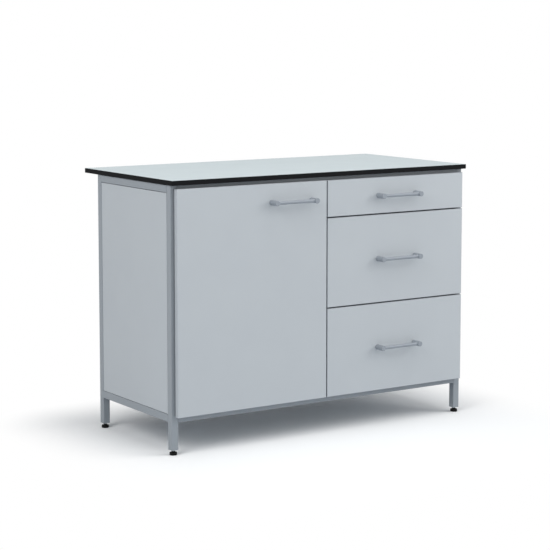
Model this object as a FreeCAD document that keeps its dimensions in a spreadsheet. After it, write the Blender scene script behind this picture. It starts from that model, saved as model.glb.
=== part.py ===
import FreeCAD, Part
import os
import re

import Sketcher

# Laboratory table: a welded steel frame with a compact laminate worktop, a cupboard and three drawers.
# Millimetres. +X to the right, +Y to the back, +Z up. The origin is on the floor under the middle of the
# whole table's outline, and the fronts look towards -Y.

NAME = re.compile(r"[a-z][a-z_]*")
VECTOR = FreeCAD.Vector
ALONG_X = FreeCAD.Rotation(VECTOR(0, 1, 0), 90)
ALONG_Y = FreeCAD.Rotation(VECTOR(1, 0, 0), -90)
TO_LEFT = FreeCAD.Rotation(VECTOR(0, 1, 0), -90)
UPRIGHT = FreeCAD.Rotation()
HALF_TURN = FreeCAD.Rotation(VECTOR(0, 0, 1), 180)
TO_FRONT = FreeCAD.Rotation(VECTOR(1, 0, 0), 90)

# Driving dimensions, each set by itself
DRIVING = {
    # Welded frame of square tube
    "frame_width": 1200, "frame_depth": 495, "frame_height": 884, "tube_side": 25, "tube_wall": 1.5,
    "tube_round": 2, "leg_bottom": 17, "lower_rail_bottom": 108,
    # Worktop of solid laminate
    "top_thick": 16, "top_over_side": 5, "top_over_front": 20, "top_over_rear": 85, "top_arris": 1,
    "lug_length": 50, "lug_width": 20, "lug_thick": 3, "lug_hole_radius": 2.75, "lug_inset": 200,
    # Boards that close the frame
    "board_thick": 16, "board_gap": 1.5, "board_recess": 1, "board_fit": 0.3,
    "tab_width": 20, "tab_height": 30, "tab_thick": 2, "tab_hole_radius": 2.25,
    "tab_side": 300,
    # Cupboard with its shelf
    "shelf_top": 512, "shelf_thick": 16, "shelf_setback": 28, "shelf_fit": 0.3,
    "pin_radius": 2.5, "pin_fit": 0.05, "pin_sunk": 8, "pin_reach": 9, "pin_collar_radius": 5,
    "pin_collar": 1.5, "pin_collar_drop": 3, "pin_hole_depth": 9, "pin_hole_pitch": 32,
    "pin_holes": 3, "pin_inset": 60,
    # Overlay fronts
    "front_thick": 16, "front_stand": 5, "front_inset": 12, "front_drop": 12, "front_rise": 19,
    "front_gap": 4, "front_arris": 0.8, "door_width": 586, "top_front_height": 125,
    # Bar handles
    "post_radius": 9, "post_length": 38, "post_bevel": 1, "post_spacing": 160, "rod_radius": 6,
    "rod_setback": 10, "rod_sunk": 4, "rod_fit": 0.05,
    "door_handle_inset": 143, "handle_drop": 62.5, "deep_handle_drop": 153,
    # Cupboard door hinges
    "cup_radius": 17.45, "cup_fit": 0.05, "cup_wall": 1, "cup_floor": 0.8, "cup_depth": 12.4,
    "cup_edge": 4, "cup_flange": 1, "cup_flange_edge": 3, "cup_wing_height": 58, "cup_wing_width": 18,
    "hinge_inset": 100, "pivot_edge": 9, "pivot_depth": 8.8, "hinge_pin_radius": 1.25,
    "hinge_pin_fit": 0.05, "ear_thick": 2, "ear_reach": 2.4, "ear_height": 3, "arm_height": 11,
    "arm_fit": 0.4, "arm_sheet": 2.4, "knuckle_radius": 2.4,
    "plate_thick": 7, "plate_wing_thick": 2.5, "plate_wing_height": 48, "plate_inset": 3,
    "plate_depth": 20,
    # Drawer boxes
    "side_thick": 16, "box_rear_gap": 33, "box_lift": 28, "shallow_box_height": 72,
    "deep_box_height": 200, "groove_lift": 8, "groove_depth": 6, "base_thick": 4, "groove_fit": 0.1,
    # Drawer runners
    "slide_height": 45, "slide_width": 12.7, "slide_sheet": 1.2, "slide_lip": 3.5, "slide_play": 0.4,
    "slide_back": 1, "slide_start": 2, "slide_rise": 35, "packer_height": 60,
    # Levelling feet
    "foot_radius": 12.5, "foot_height": 9.5, "foot_bevel": 1.5, "neck_radius": 6.5, "neck_height": 3.5,
    "stud_radius": 4, "stud_fit": 0.05, "stud_length": 42, "plug_fit": 0.1, "plug_height": 30,
}

# Places worked out from them, from the floor and from the middle of the table
DERIVED = {
    "frame_left": "-frame_width / 2",
    "frame_right": "frame_width / 2",
    "frame_front": "(front_stand + front_thick + post_length - frame_depth - top_over_rear) / 2",
    "frame_rear": "frame_front + frame_depth",
    "inner_left": "frame_left + tube_side",
    "inner_right": "frame_right - tube_side",
    "inner_front": "frame_front + tube_side",
    "inner_rear": "frame_rear - tube_side",
    "upper_rail_bottom": "frame_height - tube_side",
    "lower_rail_top": "lower_rail_bottom + tube_side",
    "leg_length": "frame_height - leg_bottom",
    "tube_bore": "tube_side - 2 * tube_wall",
    "left_board_inside": "frame_left + board_recess + board_thick",
    "right_board_inside": "frame_right - board_recess - board_thick",
    "rear_board_inside": "frame_rear - board_recess - board_thick",
    "board_front": "frame_front + board_recess",
    "board_rear": "rear_board_inside - board_fit",
    "floor_top": "lower_rail_top + board_thick",
    "door_left": "frame_left + front_inset",
    "door_right": "door_left + door_width",
    "drawer_left": "door_right + front_gap",
    "drawer_right": "frame_right - front_inset",
    "drawer_middle": "(drawer_left + drawer_right) / 2",
    "fronts_top": "frame_height - front_drop",
    "fronts_bottom": "lower_rail_bottom + front_rise",
    "deep_front_height": "(fronts_top - fronts_bottom - top_front_height - 2 * front_gap) / 2",
    "front_back": "frame_front - front_stand",
    "front_face": "front_back - front_thick",
    "box_depth": "rear_board_inside - box_rear_gap - front_back",
    "partition_right": "drawer_left + board_thick * partition_share",
    "partition_left": "partition_right - board_thick",
    "pivot_x": "door_left + pivot_edge",
    "pivot_y": "front_back - pivot_depth",
    "cup_x": "door_left + cup_edge + cup_radius",
    "arm_x": "inner_left + plate_thick",
    "runner_left": "partition_right",
    "runner_right": "inner_right",
    "box_left": "runner_left + slide_width",
    "box_right": "runner_right - slide_width",
    "slide_front": "frame_front + slide_start",
    "slide_length": "front_back + box_depth - slide_front",
    "front_step": "deep_front_height + front_gap",
    "lowest_slide": "fronts_bottom + box_lift + slide_rise",
    "tab_low": "lowest_slide + front_step / 2 - tab_height / 2",
    "tab_high": "tab_low + front_step",
    "middle_half": "slide_height / 2 - slide_sheet - slide_play",
    "inner_half": "middle_half - slide_sheet - slide_play",
    "hat_half": "middle_half - slide_sheet - slide_lip - slide_play",
}

# The partition stands behind the gap between the door and the drawers, this share of it to the right
SHARES = {"partition_share": 0.375}

doc = FreeCAD.newDocument("laboratory_table")
sheet = doc.addObject("Spreadsheet::Sheet", "Sizes")
nodes = []


def fill_sheet():
    """Write each size on a row of its own, with its name beside it."""
    rows = list(DRIVING.items()) + list(SHARES.items())
    rows += [(alias, "=" + formula) for alias, formula in DERIVED.items()]
    for row, (alias, value) in enumerate(rows, start=1):
        sheet.set(f"A{row}", alias)
        sheet.set(f"B{row}", str(value))
        sheet.setAlias(f"B{row}", alias)
    doc.recompute()


def sized(text):
    """A sum of size names as an expression that reads them from the sheet."""
    return NAME.sub(lambda name: "Sizes." + name.group(), text)


def value_of(text):
    """A sum of size names as a number, for starting values and edge picking."""
    return float(sheet.evalExpression(sized(text)))


def put(item, x="0", y="0", z="0", turn=UPRIGHT):
    """Place an object: three sums of size names and a fixed turn."""
    item.Placement = FreeCAD.Placement(VECTOR(), turn)
    for axis, text in zip("xyz", (x, y, z)):
        item.setExpression(f"Placement.Base.{axis}", sized(text))
    return item


def node(item, label):
    """Name a finished sub-part: its label is its file's name."""
    item.Label = label
    nodes.append(item)
    return item


def block(name, x, y, z):
    """A plain board or plate between two places on each axis."""
    item = doc.addObject("Part::Box", name)
    for prop, (low, high) in zip(("Length", "Width", "Height"), (x, y, z)):
        item.setExpression(prop, sized(f"({high}) - ({low})"))
    return put(item, x[0], y[0], z[0])


def rod(name, radius, length, x, y, z, turn=UPRIGHT):
    """A round bar or a round hole's tool, from its foot along its own axis."""
    item = doc.addObject("Part::Cylinder", name)
    item.setExpression("Radius", sized(radius))
    item.setExpression("Height", sized(length))
    return put(item, x, y, z, turn)


def fused(name, items):
    item = doc.addObject("Part::MultiFuse", name)
    item.Shapes = items
    return item


def cut(name, base, tool):
    item = doc.addObject("Part::Cut", name)
    item.Base, item.Tool = base, tool
    return item


def group(label, items):
    """Identical small pieces that share one node, each still a solid of its own."""
    item = doc.addObject("Part::Compound", label)
    item.Links = items
    return node(item, label)


def new_body(name):
    return doc.addObject("PartDesign::Body", name)


def sketch_on(body, role, name):
    plane = next(item for item in body.Origin.OriginFeatures if item.Role == role)
    sketch = body.newObject("Sketcher::SketchObject", name)
    sketch.AttachmentSupport = [(plane, "")]
    sketch.MapMode = "FlatFace"
    return sketch


def fix_point(sketch, geometry, point, x, y):
    """Hold one point of a sketch at two sums of size names from the sketch's origin."""
    for kind, text in (("DistanceX", x), ("DistanceY", y)):
        number = sketch.addConstraint(Sketcher.Constraint(kind, -1, 1, geometry, point, value_of(text)))
        sketch.setExpression(f"Constraints[{number}]", sized(text))


def outline(body, role, name, points):
    """A closed outline through points, each a pair of sums of size names."""
    sketch = sketch_on(body, role, name)
    spots = [VECTOR(value_of(x), value_of(y), 0) for x, y in points]
    for start, end in zip(spots, spots[1:] + spots[:1]):
        sketch.addGeometry(Part.LineSegment(start, end), False)
    for index in range(len(points)):
        after = (index + 1) % len(points)
        sketch.addConstraint(Sketcher.Constraint("Coincident", index, 2, after, 1))
    for index, (x, y) in enumerate(points):
        fix_point(sketch, index, 1, x, y)
    return sketch


def oblong(x, y):
    """The corners of a rectangle between two places on each axis."""
    return [(x[0], y[0]), (x[1], y[0]), (x[1], y[1]), (x[0], y[1])]


def rings(body, role, name, radius, spots):
    """Circles of one radius about the given spots."""
    sketch = sketch_on(body, role, name)
    for index, (x, y) in enumerate(spots):
        centre = VECTOR(value_of(x), value_of(y), 0)
        sketch.addGeometry(Part.Circle(centre, VECTOR(0, 0, 1), value_of(radius)), False)
        fix_point(sketch, index, 3, x, y)
        number = sketch.addConstraint(Sketcher.Constraint("Radius", index, value_of(radius)))
        sketch.setExpression(f"Constraints[{number}]", sized(radius))
    return sketch


def pad(body, sketch, length, reverse=False):
    feature = body.newObject("PartDesign::Pad", "Pad")
    feature.Profile = sketch
    feature.setExpression("Length", sized(length))
    feature.Reversed = reverse
    doc.recompute()
    return feature


def pocket(body, sketch, depth=None, reverse=False):
    """Cut a sketch into the body, to a depth or right through, and see that it removed something."""
    before = body.Shape.Volume
    feature = body.newObject("PartDesign::Pocket", "Pocket")
    feature.Profile = sketch
    feature.Reversed = reverse
    if depth is None:
        feature.Type = "ThroughAll"
    else:
        feature.setExpression("Length", sized(depth))
    doc.recompute()
    if not body.Shape.Volume < before:
        raise RuntimeError(f"{body.Name}: a pocket cut nothing")
    return feature


def edges_where(shape, wanted):
    return [f"Edge{number}" for number, edge in enumerate(shape.Edges, start=1) if wanted(edge)]


def round_edges(body, feature, wanted, radius):
    """Round the edges that the test picks."""
    names = edges_where(feature.Shape, wanted)
    fillet = body.newObject("PartDesign::Fillet", "Rounding")
    fillet.Base = (feature, names)
    fillet.setExpression("Radius", sized(radius))
    doc.recompute()
    return fillet


def bevel_edges(body, feature, wanted, size):
    """Bevel the edges that the test picks."""
    names = edges_where(feature.Shape, wanted)
    chamfer = body.newObject("PartDesign::Chamfer", "Arris")
    chamfer.Base = (feature, names)
    chamfer.setExpression("Size", sized(size))
    doc.recompute()
    return chamfer


def runs_along(axis):
    """A test for straight edges along one of the body's axes."""
    def wanted(edge):
        return abs(edge.tangentAt(edge.FirstParameter)[axis]) > 0.999
    return wanted


def lies_at(axis, text):
    """A test for edges that lie wholly in a plane across one of the body's axes."""
    place = value_of(text)

    def wanted(edge):
        return all(abs(vertex.Point[axis] - place) < 1e-6 for vertex in edge.Vertexes)
    return wanted


# The welded frame


def tube(label, length, x, y, z, turn):
    """A square steel tube with rounded edges, given the middle of its first end."""
    body = new_body(label)
    half = ("-tube_side / 2", "tube_side / 2")
    run = pad(body, outline(body, "XY_Plane", "Outside", oblong(half, half)), length)
    round_edges(body, run, runs_along(2), "tube_round")
    bore = ("-tube_bore / 2", "tube_bore / 2")
    pocket(body, outline(body, "XY_Plane", "Inside", oblong(bore, bore)), reverse=True)
    return node(put(body, x, y, z, turn), label)


def make_frame():
    columns = {"left": "frame_left + tube_side / 2", "right": "frame_right - tube_side / 2"}
    rows = {"front": "frame_front + tube_side / 2", "rear": "frame_rear - tube_side / 2"}
    levels = {"upper": "frame_height - tube_side / 2", "lower": "lower_rail_bottom + tube_side / 2"}
    for row, y in rows.items():
        for column, x in columns.items():
            tube(f"{row}_{column}_leg", "leg_length", x, y, "leg_bottom", UPRIGHT)
    for level, z in levels.items():
        for row, y in rows.items():
            tube(f"{level}_{row}_rail", "inner_right - inner_left", "inner_left", y, z, ALONG_X)
        for column, x in columns.items():
            tube(f"{level}_{column}_rail", "inner_rear - inner_front", x, "inner_front", z, ALONG_Y)


# The worktop and the lugs that hold it down


def make_worktop():
    body = new_body("worktop")
    reach = oblong(("frame_left - top_over_side", "frame_right + top_over_side"),
                   ("frame_front - top_over_front", "frame_rear + top_over_rear"))
    slab = pad(body, outline(body, "XY_Plane", "Slab", reach), "top_thick")
    under, over = lies_at(2, "0"), lies_at(2, "top_thick")
    bevel_edges(body, slab, lambda edge: under(edge) or over(edge), "top_arris")
    node(put(body, z="frame_height"), "worktop")


def make_worktop_lugs():
    """Drilled lugs welded inside the upper front and rear rails, under the slab."""
    lugs = []
    across = ("frame_left + lug_inset", "frame_right - lug_inset", "partition_left - lug_length")
    for x in across:
        for y in ("inner_front", "inner_rear - lug_width"):
            plate = block("Lug", (f"{x} - lug_length / 2", f"{x} + lug_length / 2"),
                          (y, f"{y} + lug_width"), ("frame_height - lug_thick", "frame_height"))
            hole = rod("LugHole", "lug_hole_radius", "lug_thick", x, f"{y} + lug_width / 2",
                       "frame_height - lug_thick")
            lugs.append(cut("DrilledLug", plate, hole))
    return lugs


# Boards


def shelf_holes(body, sign, top):
    """Rows of blind holes for the shelf pins, in the face that looks into the cupboard."""
    low = "shelf_top - shelf_thick - pin_radius - pin_hole_pitch * (pin_holes - 1) / 2"
    spots = [(f"frame_front + {y}", low) for y in ("pin_inset", "frame_depth - pin_inset")]
    face = rings(body, "YZ_Plane", "PinHoles", "pin_radius + pin_fit", spots)
    first = pocket(body, face, "pin_hole_depth", reverse=sign)
    body.Tip = first
    rows = body.newObject("PartDesign::LinearPattern", "HoleRows")
    rows.Originals = [first]
    rows.Direction = (face, ["V_Axis"])
    rows.setExpression("Length", sized("pin_hole_pitch * (pin_holes - 1)"))
    rows.setExpression("Occurrences", sized("pin_holes"))
    body.Tip = rows
    doc.recompute()


def make_side_boards():
    """Boards set into the frame's ends, a little behind the tubes' outer faces."""
    y = ("inner_front + board_gap", "inner_rear - board_gap")
    z = ("lower_rail_top + board_gap", "upper_rail_bottom - board_gap")
    body = new_body("left_side_panel")
    pad(body, outline(body, "YZ_Plane", "Board", oblong(y, z)), "board_thick", reverse=True)
    shelf_holes(body, False, "board_thick")
    node(put(body, x="left_board_inside"), "left_side_panel")
    right = ("right_board_inside", "right_board_inside + board_thick")
    node(block("right_side_panel", right, y, z), "right_side_panel")


def make_back_board():
    x = ("inner_left + board_gap", "inner_right - board_gap")
    y = ("rear_board_inside", "rear_board_inside + board_thick")
    z = ("lower_rail_top + board_gap", "upper_rail_bottom - board_gap")
    node(block("back_panel", x, y, z), "back_panel")


def make_floor_board():
    """The cupboard floor lies on the lower rails and is notched round the front legs."""
    left, right = "left_board_inside + board_fit", "right_board_inside - board_fit"
    notch_left, notch_right = "inner_left + board_fit", "inner_right - board_fit"
    notch_front, notch_rear = "inner_front + board_fit", "inner_rear - board_fit"
    points = [(notch_left, "board_front"), (notch_right, "board_front"), (notch_right, notch_front),
              (right, notch_front), (right, notch_rear), (notch_right, notch_rear),
              (notch_right, "board_rear"), (notch_left, "board_rear"), (notch_left, notch_rear),
              (left, notch_rear), (left, notch_front), (notch_left, notch_front)]
    body = new_body("floor_panel")
    pad(body, outline(body, "XY_Plane", "Board", points), "board_thick")
    node(put(body, z="lower_rail_top"), "floor_panel")


def make_partition():
    """The upright board between the cupboard and the drawers, up to the upper rails."""
    body = new_body("partition")
    board = oblong(("board_front", "board_rear"), ("floor_top", "upper_rail_bottom"))
    pad(body, outline(body, "YZ_Plane", "Board", board), "board_thick")
    shelf_holes(body, True, "0")
    node(put(body, x="partition_left"), "partition")


def make_shelf():
    x = ("left_board_inside + shelf_fit", "partition_left - shelf_fit")
    y = ("frame_front + shelf_setback", "inner_rear - shelf_setback / 2")
    node(block("shelf", x, y, ("shelf_top - shelf_thick", "shelf_top")), "shelf")
    make_shelf_pins()


def make_shelf_pins():
    """A pin in each corner: its shank lies in the board's hole and its collar against the board's face."""
    pins = []
    z = "shelf_top - shelf_thick - pin_radius - pin_fit"
    ends = (("left_board_inside - pin_sunk", "left_board_inside", ALONG_X),
            ("partition_left + pin_sunk", "partition_left", TO_LEFT))
    for y in ("frame_front + pin_inset", "frame_rear - pin_inset"):
        for foot, face, turn in ends:
            shank = rod("Shank", "pin_radius", "pin_sunk + pin_reach", foot, y, z, turn)
            collar = rod("Collar", "pin_collar_radius", "pin_collar", face, y, f"{z} - pin_collar_drop", turn)
            pins.append(fused("Pin", [shank, collar]))
    group("shelf_pins", pins)


def make_board_tabs():
    """Drilled steel tabs welded to the legs and the rear rail, to which the boards are screwed."""
    tabs = []
    left = ("left_board_inside", "left_board_inside + tab_thick")
    right = ("right_board_inside - tab_thick", "right_board_inside")
    rear = ("rear_board_inside - tab_thick", "rear_board_inside")
    near, far = ("inner_front", "inner_front + tab_width"), ("inner_rear - tab_width", "inner_rear")
    from_left = ("inner_left", "inner_left + tab_width")
    from_right = ("inner_right - tab_width", "inner_right")
    for low in ("tab_low", "tab_high"):
        z = (low, f"{low} + tab_height")
        for x in (left, right):
            for y in (near, far):
                plate = block("SideTab", x, y, z)
                hole = rod("SideTabHole", "tab_hole_radius", "tab_thick", x[0], f"{y[0]} + tab_width / 2",
                           f"{low} + tab_height / 2", ALONG_X)
                tabs.append(cut("DrilledSideTab", plate, hole))
        for x in (from_left, from_right):
            plate = block("RearTab", x, rear, z)
            hole = rod("RearTabHole", "tab_hole_radius", "tab_thick", f"{x[0]} + tab_width / 2", rear[0],
                       f"{low} + tab_height / 2", ALONG_Y)
            tabs.append(cut("DrilledRearTab", plate, hole))
    for x in ("-tab_side", "tab_side"):
        z = ("upper_rail_bottom - tab_height", "upper_rail_bottom")
        plate = block("HangingTab", (f"{x} - tab_width / 2", f"{x} + tab_width / 2"), rear, z)
        hole = rod("HangingTabHole", "tab_hole_radius", "tab_thick", x, rear[0],
                   "upper_rail_bottom - tab_height / 2", ALONG_Y)
        tabs.append(cut("DrilledHangingTab", plate, hole))
    return tabs


# Bar handles


def handle(label, x, z):
    """Two round posts stand off the front, and a round rod is socketed between them."""
    posts = []
    rod_y = "front_face - post_length + rod_setback"
    first = f"{x} - post_spacing / 2 + post_radius - rod_sunk"
    span = "post_spacing - 2 * post_radius + 2 * rod_sunk"
    for sign in ("-", "+"):
        body = new_body("Post")
        shank = pad(body, rings(body, "XZ_Plane", "Round", "post_radius", [("0", "0")]), "post_length")
        bevel_edges(body, shank, lies_at(1, "-post_length"), "post_bevel")
        put(body, f"{x} {sign} post_spacing / 2", "front_face", z)
        socket = rod("Socket", "rod_radius + rod_fit", f"{span} + 2 * rod_fit", f"{first} - rod_fit",
                     rod_y, z, ALONG_X)
        posts.append(cut("SocketedPost", body, socket))
    bar = rod("Rod", "rod_radius", span, first, rod_y, z, ALONG_X)
    return group(label, posts + [bar])


# Overlay fronts


def front_panel(label, x, z):
    """A flat front with eased outer edges, from its back face towards the user."""
    body = new_body(label)
    board = pad(body, outline(body, "XZ_Plane", "Board", oblong(x, z)), "front_thick")
    bevel_edges(body, board, lies_at(1, "-front_thick"), "front_arris")
    return node(put(body, y="front_back"), label)


def make_door():
    """The door has two sunk cups near its left edge and carries one handle."""
    door = front_panel("door_panel", ("door_left", "door_right"), ("fronts_bottom", "fronts_top"))
    heights = ("fronts_bottom + hinge_inset", "fronts_top - hinge_inset")
    cups = rings(door, "XZ_Plane", "CupHoles", "cup_radius + cup_fit", [("cup_x", z) for z in heights])
    pocket(door, cups, "cup_depth + cup_fit", reverse=True)
    handle("door_handle", "door_right - door_handle_inset", "fronts_top - handle_drop")
    group("hinge_cups", [hinge_cup(z) for z in heights])
    group("hinge_pins", [hinge_pin(z) for z in heights])
    group("hinge_arms", [hinge_arm(z) for z in heights])
    group("hinge_plates", [hinge_plate(z) for z in heights])


def hinge_cup(z):
    """A pressed cup with a flange and screw wings, and two ears inside that hold the pin."""
    back = "front_back"
    shell = rod("CupShell", "cup_radius", "cup_depth", "cup_x", back, z, TO_FRONT)
    flange = rod("CupFlange", "cup_radius + cup_flange_edge", "cup_flange", "cup_x",
                 f"{back} + cup_flange", z, TO_FRONT)
    wings = block("CupWings", ("cup_x - cup_wing_width / 2", "cup_x + cup_wing_width / 2"),
                  (back, f"{back} + cup_flange"),
                  (f"{z} - cup_wing_height / 2", f"{z} + cup_wing_height / 2"))
    hollow = rod("CupHollow", "cup_radius - cup_wall", "cup_depth - cup_floor + cup_flange", "cup_x",
                 f"{back} + cup_flange", z, TO_FRONT)
    bowl = cut("CupBowl", fused("CupOutside", [shell, flange, wings]), hollow)
    ears = []
    for low in (f"{z} - arm_height / 2 - arm_fit - ear_thick", f"{z} + arm_height / 2 + arm_fit"):
        ears.append(block("CupEar", ("pivot_x - ear_reach", "pivot_x + ear_reach"),
                          (f"{back} - cup_depth + cup_floor / 2", "pivot_y + ear_height"),
                          (low, f"{low} + ear_thick")))
    bore = rod("EarBore", "hinge_pin_radius + hinge_pin_fit", "arm_height + 2 * (arm_fit + ear_thick)",
               "pivot_x", "pivot_y", f"{z} - arm_height / 2 - arm_fit - ear_thick")
    return cut("HingeCup", fused("EaredCup", [bowl] + ears), bore)


def hinge_pin(z):
    return rod("HingePin", "hinge_pin_radius", "arm_height + 2 * (arm_fit + ear_thick)", "pivot_x", "pivot_y",
               f"{z} - arm_height / 2 - arm_fit - ear_thick")


def hinge_arm(z):
    """A cranked arm from the plate into the cup, rolled round the pin at its end."""
    height = (f"{z} - arm_height / 2", f"{z} + arm_height / 2")
    strap = block("ArmStrap", ("arm_x", "arm_x + arm_sheet"),
                  ("pivot_y - arm_sheet / 2", "frame_front + plate_inset + plate_depth"), height)
    hook = block("ArmHook", ("pivot_x", "arm_x + arm_sheet"),
                 ("pivot_y - arm_sheet / 2", "pivot_y + arm_sheet / 2"), height)
    knuckle = rod("ArmKnuckle", "knuckle_radius", "arm_height", "pivot_x", "pivot_y", height[0])
    bore = rod("ArmBore", "hinge_pin_radius + hinge_pin_fit", "arm_height", "pivot_x", "pivot_y", height[0])
    return cut("HingeArm", fused("SolidArm", [strap, hook, knuckle]), bore)


def hinge_plate(z):
    """A mounting plate on the leg's inner face, with a raised seat for the arm."""
    y = ("frame_front + plate_inset", "frame_front + plate_inset + plate_depth")
    seat = block("PlateSeat", ("inner_left", "arm_x"), y, (f"{z} - arm_height / 2", f"{z} + arm_height / 2"))
    wing = block("PlateWing", ("inner_left", "inner_left + plate_wing_thick"), y,
                 (f"{z} - plate_wing_height / 2", f"{z} + plate_wing_height / 2"))
    return fused("HingePlate", [seat, wing])


# Drawer runners: three members nested in each other


def lipped_channel(back, half, open_end):
    """Half of a channel with lips, mirrored about its middle line: web at the back, lips at the open end."""
    upper = [(back, half), (open_end, half), (open_end, f"{half} - slide_sheet - slide_lip"),
             (f"{open_end} - slide_sheet", f"{half} - slide_sheet - slide_lip"),
             (f"{open_end} - slide_sheet", f"{half} - slide_sheet"),
             (f"{back} + slide_sheet", f"{half} - slide_sheet")]
    return upper + [(x, f"-({z})") for x, z in reversed(upper)]


def hat_channel(back):
    """The drawer's member: its web lies on the box, its feet are held behind the middle member's lips."""
    upper = [("slide_width", "hat_half"), (f"{back} + slide_sheet", "hat_half"),
             (f"{back} + slide_sheet", "inner_half"), (back, "inner_half"),
             (back, "hat_half - slide_sheet"), ("slide_width - slide_sheet", "hat_half - slide_sheet")]
    return upper + [(x, f"-({z})") for x, z in reversed(upper)]


def runner_member(points, side, z):
    """One member, drawn in section and drawn out along the drawer's travel."""
    body = new_body("Member")
    pad(body, outline(body, "XZ_Plane", "Section", points), "slide_length")
    if side == "left":
        return put(body, "runner_left", "slide_front + slide_length", z)
    return put(body, "runner_right", "slide_front", z, HALF_TURN)


def make_runners(name, box_bottom):
    """A pair of telescopic runners: cabinet members, middle members and drawer members."""
    z = f"{box_bottom} + slide_rise"
    step = "(slide_sheet + slide_play)"
    shapes = {
        f"{name}_slide_channels": lipped_channel("0", "slide_height / 2", "slide_width - slide_back"),
        f"{name}_slide_members": lipped_channel(step, "middle_half", f"slide_width - slide_back - {step}"),
        f"{name}_drawer_runners": hat_channel(f"2 * {step}"),
    }
    for label, points in shapes.items():
        group(label, [runner_member(points, side, z) for side in ("left", "right")])


def make_packers(bottoms):
    """Strips on the right side panel that bring the runners' seats level with the leg."""
    y = ("inner_front + board_gap", "inner_rear - board_gap")
    strips = []
    for bottom in bottoms:
        z = f"{bottom} + slide_rise"
        strips.append(block("Packer", ("inner_right", "right_board_inside"), y,
                            (f"{z} - packer_height / 2", f"{z} + packer_height / 2")))
    group("runner_packers", strips)


# Drawers


def grooved_section(height):
    """A box board in section: its outer face at zero and the groove for the base in its inner face."""
    depth, groove_top = "side_thick - groove_depth", "groove_lift + base_thick + 2 * groove_fit"
    return [("0", "0"), ("side_thick", "0"), ("side_thick", "groove_lift"), (depth, "groove_lift"),
            (depth, groove_top), ("side_thick", groove_top), ("side_thick", height), ("0", height)]


def drawer_side(side, bottom, height):
    body = new_body("BoxSide")
    pad(body, outline(body, "XZ_Plane", "Section", grooved_section(height)), "box_depth")
    if side == "left":
        return put(body, "box_left", "front_back + box_depth", bottom)
    return put(body, "box_right", "front_back", bottom, HALF_TURN)


def make_box(name, bottom, height):
    """Two grooved sides, a grooved front and a back above the base, which slides in from behind."""
    group(f"{name}_drawer_sides", [drawer_side(side, bottom, height) for side in ("left", "right")])
    x = ("box_left + side_thick", "box_right - side_thick")
    body = new_body("BoxFront")
    pad(body, outline(body, "YZ_Plane", "Section", grooved_section(height)), f"({x[1]}) - ({x[0]})")
    node(put(body, x[0], "front_back", bottom), f"{name}_drawer_box_front")
    rear = "front_back + box_depth"
    base_bottom = f"{bottom} + groove_lift + groove_fit"
    base_top = f"{base_bottom} + base_thick"
    back = block(f"{name}_drawer_box_back", x, (f"{rear} - side_thick", rear),
                 (f"{base_top} + groove_fit", f"{bottom} + {height}"))
    node(back, f"{name}_drawer_box_back")
    base = block(f"{name}_drawer_base",
                 (f"{x[0]} - groove_depth + groove_fit", f"{x[1]} + groove_depth - groove_fit"),
                 ("front_back + side_thick - groove_depth + groove_fit", rear), (base_bottom, base_top))
    node(base, f"{name}_drawer_base")


def make_drawer(name, bottom, front_height, box_height, handle_drop):
    """Front, handle and box, with the box hung on its runners."""
    top = f"{bottom} + {front_height}"
    front_panel(f"{name}_drawer_front", ("drawer_left", "drawer_right"), (bottom, top))
    handle(f"{name}_drawer_handle", "drawer_middle", f"{top} - {handle_drop}")
    box_bottom = f"{bottom} + box_lift"
    make_box(name, box_bottom, box_height)
    make_runners(name, box_bottom)
    return box_bottom


def make_drawers():
    low, middle, high = "fronts_bottom", "fronts_bottom + front_step", "fronts_bottom + 2 * front_step"
    deep = ("deep_front_height", "deep_box_height", "deep_handle_drop")
    shallow = ("top_front_height", "shallow_box_height", "handle_drop")
    bottoms = [make_drawer("bottom", low, *deep), make_drawer("middle", middle, *deep),
               make_drawer("top", high, *shallow)]
    make_packers(bottoms)


# Levelling feet


def leg_plug():
    """A plug that fills the tube's bore, with a hole for the foot's stud."""
    body = new_body("Plug")
    half = ("-(tube_bore / 2 - plug_fit)", "tube_bore / 2 - plug_fit")
    pad(body, outline(body, "XY_Plane", "Stem", oblong(half, half)), "plug_height")
    hole = rings(body, "XY_Plane", "StudHole", "stud_radius + stud_fit", [("0", "0")])
    pocket(body, hole, reverse=True)
    return body


def make_feet():
    """Four round feet on threaded studs, in plugs pressed into the legs' lower ends."""
    plugs = []
    rows = {"front": "frame_front + tube_side / 2", "rear": "frame_rear - tube_side / 2"}
    columns = {"left": "frame_left + tube_side / 2", "right": "frame_right - tube_side / 2"}
    neck_top = "foot_height + neck_height"
    rim = "foot_radius - foot_bevel"
    points = [("0", "0"), (rim, "0"), ("foot_radius", "foot_bevel"),
              ("foot_radius", "foot_height - foot_bevel"), (rim, "foot_height"),
              ("neck_radius", "foot_height"), ("neck_radius", neck_top), ("stud_radius", neck_top),
              ("stud_radius", f"{neck_top} + stud_length"), ("0", f"{neck_top} + stud_length")]
    for row, y in rows.items():
        for column, x in columns.items():
            body = new_body("Foot")
            turned = body.newObject("PartDesign::Revolution", "Turned")
            profile = outline(body, "XZ_Plane", "Profile", points)
            turned.Profile = profile
            turned.ReferenceAxis = (profile, ["V_Axis"])
            turned.Angle = 360
            doc.recompute()
            node(put(body, x, y), f"{row}_{column}_foot")
            plugs.append(put(leg_plug(), x, y, "leg_bottom"))
    group("leg_plugs", plugs)


def check_and_export():
    """Stop on any failed object or bad shape, then write one STEP file for each sub-part."""
    doc.recompute()
    for item in doc.Objects:
        if "Invalid" in item.State or "Error" in item.State:
            raise RuntimeError(f"{item.Label} failed: {item.State}")
    for item in nodes:
        if item.Shape.isNull() or not item.Shape.isValid() or not item.Shape.Solids:
            raise RuntimeError(f"{item.Label} has no valid solid")
    os.makedirs("parts", exist_ok=True)
    for item in nodes:
        item.Shape.exportStep(f"parts/{item.Label}.step")
    solids = sum(len(item.Shape.Solids) for item in nodes)
    print(len(nodes), "sub-parts,", solids, "solids")


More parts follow.
